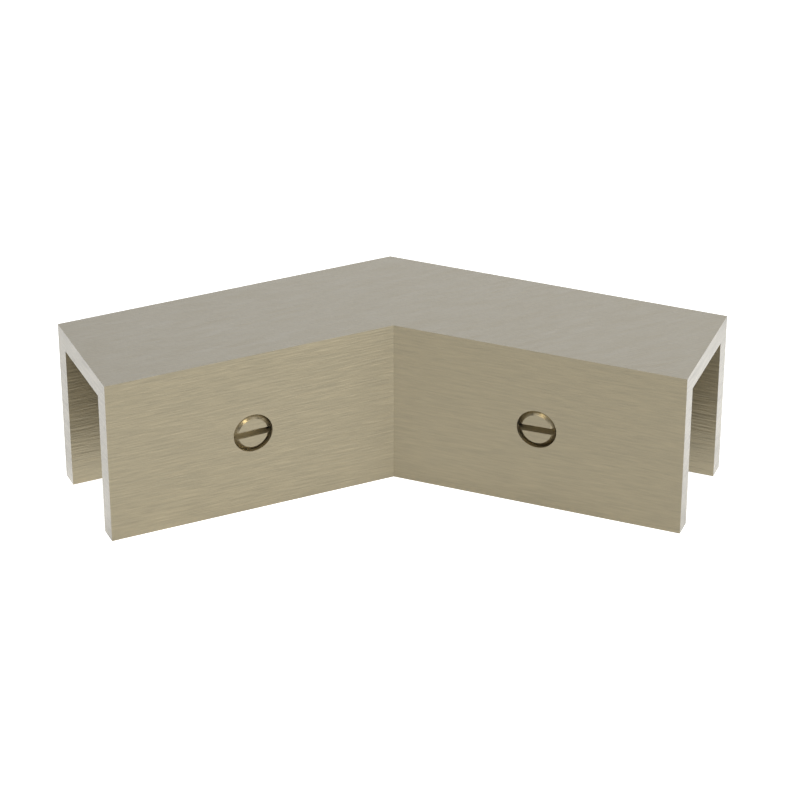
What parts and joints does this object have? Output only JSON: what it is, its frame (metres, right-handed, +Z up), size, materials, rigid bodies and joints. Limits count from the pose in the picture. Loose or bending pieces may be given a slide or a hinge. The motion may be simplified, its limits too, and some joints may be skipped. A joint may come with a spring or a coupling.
{
  "type": "glass panel corner clamp",
  "caption": "Bent U-channel clamp that drops over the top edges of two glass panels at a 135 degree corner, with a slotted set screw and soft tip in each arm.",
  "frame": {"origin": "middle of the plan's bounding box, on the plane of the legs' ends", "axes": "+X along the clamp's length from the left arm to the right arm, +Y towards the back corner of the bend, +Z up from the legs' ends to the top plate"},
  "size_m": [0.0966, 0.0384, 0.0254],
  "materials": {
    "clamp_body": "brushed nickel plate on solid brass, grain along the walls and across the top in one direction",
    "set_screws": "brushed nickel plate on brass",
    "screw_tips": "natural nylon, smooth"
  },
  "bodies": {
    "clamp": {"clamp_body": "clamp_body"},
    "left_tip": {"left_screw_tip": "screw_tips"},
    "left_screw": {"left_set_screw": "set_screws"},
    "right_tip": {"right_screw_tip": "screw_tips"},
    "right_screw": {"right_set_screw": "set_screws"}
  },
  "joints": [
    {"name": "left_screw_travel", "type": "slide", "parent": "clamp", "child": "left_tip", "axis": [-0.3827, 0.9239, 0], "range_m": [-0.003, 0.001]},
    {"name": "left_screw_turn", "type": "hinge", "parent": "left_tip", "child": "left_screw", "pos_m": [-0.02033, -0.01082, 0.0127], "axis": [-0.3827, 0.9239, 0], "range_deg": [-1080, 360]},
    {"name": "right_screw_travel", "type": "slide", "parent": "clamp", "child": "right_tip", "axis": [0.3827, 0.9239, 0], "range_m": [-0.003, 0.001]},
    {"name": "right_screw_turn", "type": "hinge", "parent": "right_tip", "child": "right_screw", "pos_m": [0.02033, -0.01082, 0.0127], "axis": [0.3827, 0.9239, 0], "range_deg": [-1080, 360]}
  ],
  "couplings": [
    {"joint": "left_screw_turn", "follows": "left_screw_travel", "rad_per_m": 6283.2},
    {"joint": "right_screw_turn", "follows": "right_screw_travel", "rad_per_m": 6283.2}
  ]
}
